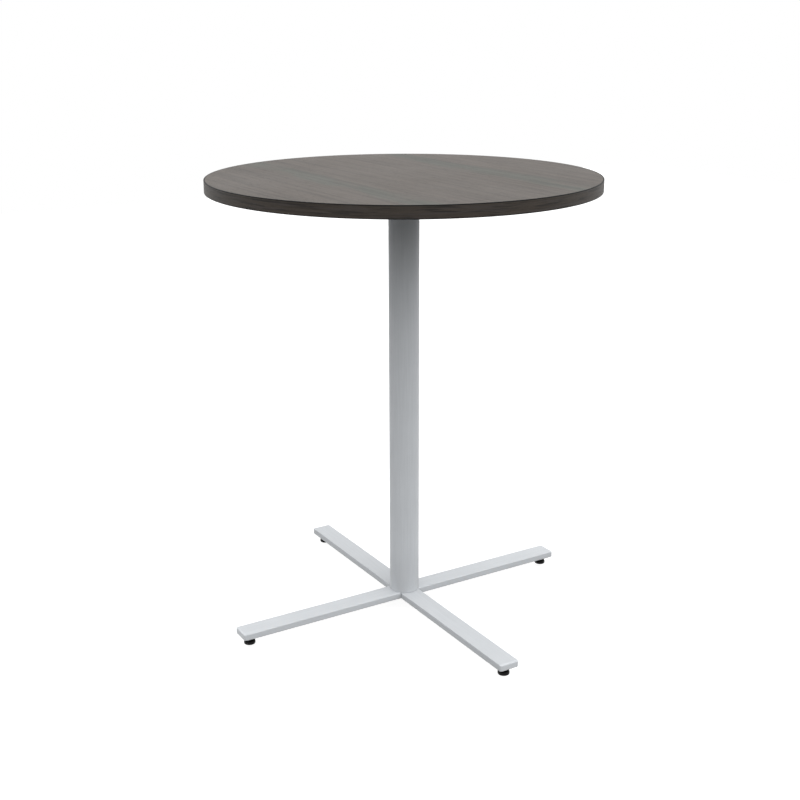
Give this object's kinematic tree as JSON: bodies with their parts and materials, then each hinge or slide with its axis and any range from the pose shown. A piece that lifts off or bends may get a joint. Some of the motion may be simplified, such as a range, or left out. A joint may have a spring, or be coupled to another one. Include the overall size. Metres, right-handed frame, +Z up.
{
  "type": "high table",
  "caption": "Standing-height round pedestal table with a dark wood-grain laminate top, a steel column, a flat cross base and levelling glides.",
  "frame": {"origin": "on the floor, under the middle of the column", "axes": "+Z up through the column to the tabletop; the through leg lies along X and the half legs along Y"},
  "size_m": [0.9144, 0.9144, 1.0795],
  "materials": {
    "dark_laminate": "dark brown wood-grain laminate, satin",
    "dark_edge_band": "dark brown wood-grain plastic edge band, satin",
    "backer_sheet": "plain brown phenolic backer sheet, matt",
    "particleboard": "raw particleboard",
    "silver_paint": "silver metallic powder coat, satin, fine texture",
    "black_steel": "black painted steel, semi-matt",
    "zinc_plate": "zinc plated steel",
    "insert_brass": "plain brass",
    "black_nylon": "moulded black nylon, satin"
  },
  "bodies": {
    "table": {"tabletop_core": "particleboard", "top_laminate": "dark_laminate", "backer_sheet": "backer_sheet", "edge_band": "dark_edge_band", "mounting_plate": "black_steel", "column_collar": "black_steel", "plate_nut": "zinc_plate", "column_tube": "silver_paint", "column_foot_disc": "black_steel", "tie_rod": "zinc_plate", "tie_nut": "zinc_plate", "tie_washer": "zinc_plate", "through_leg": "silver_paint", "half_leg_back": "silver_paint", "half_leg_front": "silver_paint", "crush_sleeve": "zinc_plate", "hub_plate": "silver_paint", "core_insert_1": "insert_brass", "plate_screw_1": "zinc_plate", "core_insert_2": "insert_brass", "plate_screw_2": "zinc_plate", "core_insert_3": "insert_brass", "plate_screw_3": "zinc_plate", "core_insert_4": "insert_brass", "plate_screw_4": "zinc_plate", "core_insert_5": "insert_brass", "plate_screw_5": "zinc_plate", "core_insert_6": "insert_brass", "plate_screw_6": "zinc_plate", "core_insert_7": "insert_brass", "plate_screw_7": "zinc_plate", "core_insert_8": "insert_brass", "plate_screw_8": "zinc_plate", "leg_end_cap_right": "silver_paint", "glide_insert_right": "zinc_plate", "leg_end_cap_back": "silver_paint", "glide_insert_back": "zinc_plate", "leg_end_cap_left": "silver_paint", "glide_insert_left": "zinc_plate", "leg_end_cap_front": "silver_paint", "glide_insert_front": "zinc_plate"},
    "foot_right": {"glide_pad_right": "black_nylon"},
    "stem_right": {"glide_stem_right": "zinc_plate"},
    "foot_back": {"glide_pad_back": "black_nylon"},
    "stem_back": {"glide_stem_back": "zinc_plate"},
    "foot_left": {"glide_pad_left": "black_nylon"},
    "stem_left": {"glide_stem_left": "zinc_plate"},
    "foot_front": {"glide_pad_front": "black_nylon"},
    "stem_front": {"glide_stem_front": "zinc_plate"}
  },
  "joints": [
    {"name": "glide_drop_right", "type": "slide", "parent": "table", "child": "foot_right", "axis": [0, 0, -1], "range_m": [0, 0.008]},
    {"name": "glide_turn_right", "type": "hinge", "parent": "foot_right", "child": "stem_right", "pos_m": [0.4336, 0, 0.012], "axis": [0, 0, -1], "range_deg": [0, 1920]},
    {"name": "glide_drop_back", "type": "slide", "parent": "table", "child": "foot_back", "axis": [0, 0, -1], "range_m": [0, 0.008]},
    {"name": "glide_turn_back", "type": "hinge", "parent": "foot_back", "child": "stem_back", "pos_m": [0, 0.4336, 0.012], "axis": [0, 0, -1], "range_deg": [0, 1920]},
    {"name": "glide_drop_left", "type": "slide", "parent": "table", "child": "foot_left", "axis": [0, 0, -1], "range_m": [0, 0.008]},
    {"name": "glide_turn_left", "type": "hinge", "parent": "foot_left", "child": "stem_left", "pos_m": [-0.4336, 0, 0.012], "axis": [0, 0, -1], "range_deg": [0, 1920]},
    {"name": "glide_drop_front", "type": "slide", "parent": "table", "child": "foot_front", "axis": [0, 0, -1], "range_m": [0, 0.008]},
    {"name": "glide_turn_front", "type": "hinge", "parent": "foot_front", "child": "stem_front", "pos_m": [0, -0.4336, 0.012], "axis": [0, 0, -1], "range_deg": [0, 1920]}
  ],
  "couplings": [
    {"joint": "glide_turn_right", "follows": "glide_drop_right", "rad_per_m": 4188.8},
    {"joint": "glide_turn_back", "follows": "glide_drop_back", "rad_per_m": 4188.8},
    {"joint": "glide_turn_left", "follows": "glide_drop_left", "rad_per_m": 4188.8},
    {"joint": "glide_turn_front", "follows": "glide_drop_front", "rad_per_m": 4188.8}
  ]
}
